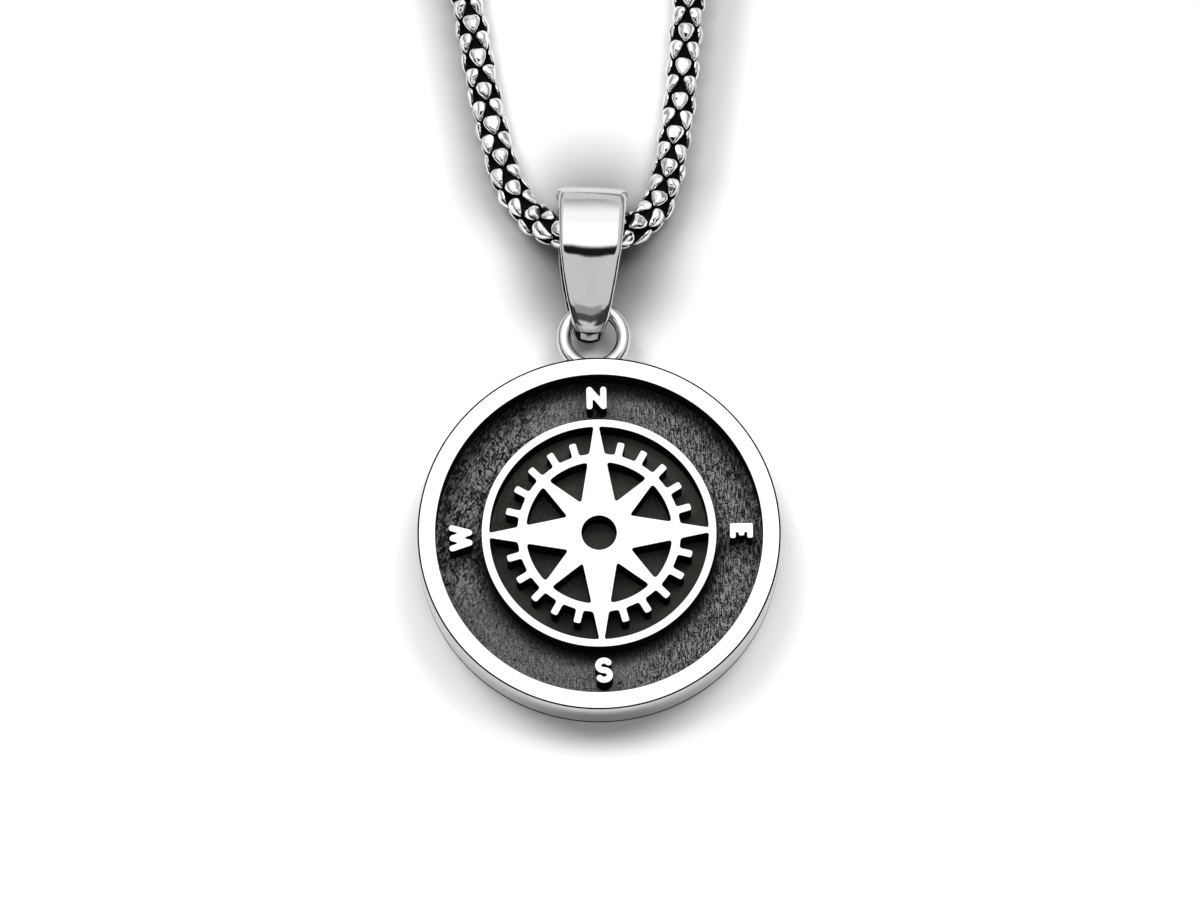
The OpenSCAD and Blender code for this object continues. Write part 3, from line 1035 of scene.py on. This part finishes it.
# Chain: rows of four domed pads round a near-black core, soot with painted shade for the hollow inside;
# each row is turned by half a pad from the next.
# A dome is the share of the outline and the radius of each of its rings, and it is finer near the bail.
chain = {
    "period": 2.51, "start": 2.08, "padLength": 0.69, "padWidth": 0.585, "squareness": 2.2, "near": 24,
    "outlineR": 1.1, "topR": 1.215, "floorR": 0.66, "pitR": 0.6, "meetR": 0.86, "undercut": 0.9,
    "taper": 0.62, "crest": 0.03, "dent": 0.12, "dentsPerMm": 1.5, "mmPerDegree": 0.021,
    "wobble": 0.07, "wobbleStep": (0.71, 1.3), "seed": 5, "sharp": 30,
    "dome": [(0.5, 1.175), (0.85, 1.12), (1, 1.03)],
    "fineDome": [(0.26, 1.2), (0.55, 1.17), (0.8, 1.115), (0.94, 1.055), (1, 1.0)],
}
# The middle line of the chain, from its west end round the bail to its east end
lieZ = 1.22
route = [
    (-8.95, 233, 1.6), (-14, 233, 1.6), (-21, 232, 1.4), (-31, 227, lieZ), (-40, 218, lieZ),
    (-46, 206, lieZ), (-49, 193, lieZ), (-50, 180, lieZ), (-49, 167, lieZ), (-46, 153, lieZ),
    (-42, 139, lieZ), (-37, 125, lieZ), (-31, 111, lieZ), (-25, 97, lieZ), (-19.5, 83, lieZ),
    (-14.5, 69, lieZ), (-11, 56, lieZ), (-9, 45, lieZ), (-8, 38, lieZ), (-7.05, 32, lieZ),
    (-6.25, 28.3, 1.25), (-5.8, 26.5, 1.35), (-4.8, 24.6, 1.5), (-3.6, 23, 1.8), (-2.2, 22.1, 2.4),
    (0.2, 21.8, 2.3), (2.4, 22.05, 2.15), (3.7, 22.9, 1.8), (4.6, 24, 1.5), (5.3, 25.8, 1.35),
    (5.9, 28.4, 1.25), (6.5, 32, lieZ), (7.2, 38, lieZ), (8.2, 46, lieZ), (10.5, 56, lieZ),
    (14.5, 69, lieZ), (19.5, 83, lieZ), (25, 97, lieZ), (31, 111, lieZ), (37, 125, lieZ),
    (42, 139, lieZ), (46, 153, lieZ), (49, 167, lieZ), (50, 180, lieZ), (49, 193, lieZ),
    (46, 206, lieZ), (40, 218, lieZ), (31, 227, lieZ), (21, 232, 1.4), (14, 233, 1.6), (8.86, 233, 1.6),
]


def catmull(p0, p1, p2, p3, t):
    return 0.5 * (2 * p1 + (p2 - p0) * t + (2 * p0 - 5 * p1 + 4 * p2 - p3) * t * t
                  + (3 * p1 - p0 - 3 * p2 + p3) * t ** 3)


# The chain's middle line, measured: places and how far along each lies
class Line:
    reach = 0.25  # how far to both sides a heading is taken from

    def __init__(self, points, steps=24):
        points = [Vector(p) for p in points]
        last = len(points) - 1
        self.places = []
        for i in range(last):
            four = [points[max(0, min(last, k))] for k in range(i - 1, i + 3)]
            self.places += [catmull(*four, s / steps) for s in range(steps)]
        self.places.append(points[last])
        self.far = [0.0]
        for a, b in zip(self.places, self.places[1:]):
            self.far.append(self.far[-1] + (b - a).length)
        self.length = self.far[-1]

    def at(self, far):
        i = max(0, min(len(self.far) - 2, bisect_right(self.far, far) - 1))
        share = (far - self.far[i]) / (self.far[i + 1] - self.far[i])
        return self.places[i].lerp(self.places[i + 1], share)

    # a place on the round of that radius about the line, angle 0 on top
    def around(self, far, angle, radius):
        after, before = self.at(min(self.length, far + self.reach)), self.at(max(0, far - self.reach))
        heading = (after - before).normalized()
        side = heading.cross(Vector((0, 0, 1))).normalized()
        up = side.cross(heading)
        a = math.radians(angle)
        return self.at(far) + radius * (math.sin(a) * side + math.cos(a) * up)


# Outline of a pad, as offsets along the chain in millimetres and round it in degrees. It starts at the
# corner where it meets the next row's pad, and its four corners are a quarter of the points apart.
def padOutline(count):
    c = chain
    power = c["squareness"]
    corner = math.degrees(math.atan2(c["period"] / 4, math.radians(22.5) * c["outlineR"]))
    corners = [corner, 180 - corner, 180 + corner, 360 - corner, 360 + corner]
    result = []
    for start, end in zip(corners, corners[1:]):
        for i in range(count // 4):
            angle = math.radians(start + (end - start) * i * 4 / count)
            x, y = math.cos(angle), math.sin(angle)
            r = (abs(y / c["padLength"]) ** power + abs(x / c["padWidth"]) ** power) ** (-1 / power)
            result.append((r * y, math.degrees(r * x / c["outlineR"])))
    return result


# The chain's mesh. A pad has a row and an eighth, its place round the chain in steps of 45 degrees, and
# stands on a base of twelve points. Every third point is a corner that it shares with a pad of the next
# row or of the one before.
class PadNet:
    def __init__(self):
        self.bm = bmesh.new()
        self.line = Line(route)
        self.rowLength = chain["period"] / 2
        self.rows = int((self.line.length - chain["start"]) / self.rowLength)
        self.coarse, self.fine = padOutline(12), padOutline(24)
        self.corners, self.bases = {}, {}
        places = self.line.places
        nearest = min(range(len(places)), key=lambda i: abs(places[i].x) + places[i].y)
        self.bailFar = self.line.far[nearest]

    def farOf(self, row):
        return chain["start"] + row * self.rowLength

    def vertex(self, far, angle, radius):
        return self.bm.verts.new(self.line.around(far, angle, radius))

    def corner(self, row, eighth):
        key = (row, eighth % 8)
        if key not in self.corners:
            self.corners[key] = self.vertex(self.farOf(row + 0.5), 45 * eighth + 22.5, chain["meetR"])
        return self.corners[key]

    def makeBase(self, row, eighth):
        base = []
        for i, (ahead, turn) in enumerate(self.coarse):
            if i % 3 == 0:
                up, right = i in (0, 3), i in (0, 9)
                base.append(self.corner(row if up else row - 1, eighth if right else eighth - 1))
            else:
                ahead, turn = ahead * chain["undercut"], turn * chain["undercut"]
                base.append(self.vertex(self.farOf(row) + ahead, 45 * eighth + turn, chain["floorR"]))
        self.bases[row, eighth] = base
        return base

    # the top of a pad and the rings below it; it narrows towards the bail, and its crest lies away from it
    def makeDome(self, row, eighth, near):
        c = chain
        far = self.farOf(row)
        outline, dome = (self.fine, c["fineDome"]) if near else (self.coarse, c["dome"])
        stepX, stepY = c["wobbleStep"]
        wobble = noise.noise_vector(Vector((row * stepX, eighth * stepY, 4.0))) * c["wobble"]
        middle, swell = 45 * eighth + math.degrees(wobble.y), 1 + wobble.z
        way = 1 if far < self.bailFar else -1
        rings = []
        for share, radius in dome + [(0, c["topR"])]:
            crest = far + wobble.x - way * c["crest"] * (1 - share)
            rings.append([])
            for ahead, turn in outline if share else [(0, 0)]:
                slim = 1 - way * c["taper"] * ahead / c["padLength"]
                place = crest + ahead * share * swell
                angle = middle + turn * share * swell * slim
                spot = Vector((place, angle * c["mmPerDegree"], 7.0))
                dent = noise.noise(spot * c["dentsPerMm"]) * (1 - share / 2) * c["dent"]
                rings[-1].append(self.vertex(place, angle, radius + dent))
        top = rings.pop()[0]
        return top, rings

    def makePad(self, row, eighth):
        near = abs(self.farOf(row) - self.bailFar) < chain["near"]
        base = self.makeBase(row, eighth)
        top, rings = self.makeDome(row, eighth, near)
        for i, vertex in enumerate(rings[0]):
            addFace(self.bm, (top, rings[0][i - 1], vertex))
        for inner, outer in zip(rings, rings[1:]):
            bridge(self.bm, inner, outer)
        # the pad's sides down to its base are near-black: soot with painted shade
        if near:
            self.makeSkirt(rings[-1], base)
        else:
            bridge(self.bm, rings[-1], base, sootAndShade)

    # from a fine outline down to the base, which has half its points
    def makeSkirt(self, outline, base):
        for i, here in enumerate(base):
            after = base[(i + 1) % len(base)]
            first, middle, last = outline[2 * i], outline[2 * i + 1], outline[(2 * i + 2) % len(outline)]
            for corners in ((here, first, middle), (here, middle, after), (after, middle, last)):
                addFace(self.bm, corners, sootAndShade)

    def closeLoop(self, loop, middle):
        centre = self.bm.verts.new(middle)
        for i, vertex in enumerate(loop):
            addFace(self.bm, (loop[i - 1], vertex, centre), sootAndShade)

    # the bases beside a hole in a row
    def beside(self, row, eighth):
        return self.bases[row, (eighth - 1) % 8], self.bases[row, (eighth + 1) % 8]

    # the floor of the hole between four pads
    def closeHole(self, row, eighth):
        west, east = self.beside(row, eighth)
        above, below = self.bases[row + 1, eighth], self.bases[row - 1, eighth]
        loop = west[9:] + above[6:9] + east[3:6] + below[:3]
        self.closeLoop(loop, self.line.around(self.farOf(row), 45 * eighth, chain["pitR"]))

    def closeEnds(self):
        first, last, end = [], [], self.rows - 1
        for eighth in range(1, 8, 2):
            west, east = self.beside(0, eighth)
            first += west[9:] + self.bases[1, eighth][6:9] + east[3:9]
        for eighth in range((end + 1) % 2, 8, 2):
            west, east = self.beside(end, eighth)
            last = east[3:6] + self.bases[end - 1, eighth][:3] + west[9:] + west[:3] + last
        self.closeLoop(first, self.line.at(self.farOf(0)))
        self.closeLoop(last, self.line.at(self.farOf(end)))


def makeChain():
    noise.seed_set(chain["seed"])  # without it the pads' unevenness differs from run to run
    net = PadNet()
    for row in range(net.rows):
        for eighth in range(row % 2, 8, 2):
            net.makePad(row, eighth)
    for row in range(1, net.rows - 1):
        for eighth in range((row + 1) % 2, 8, 2):
            net.closeHole(row, eighth)
    net.closeEnds()
    piece = makePiece("popcornChain", net.bm, [chainSilver, darkCore], chain["sharp"])
    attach(piece, "root")
    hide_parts("chain")
    return piece


chainPiece = makeChain()
print("stage 5: chain,", len(chainPiece.data.polygons), "faces")

# Clasp: its solids and the end caps keep their shape and take the polished finish.
for name in ("end_cap_west", "end_cap_east", "jump_ring", "clasp"):
    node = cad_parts[name]
    for slot in node.material_slots:
        slot.material = silver
print("stage 6: clasp")
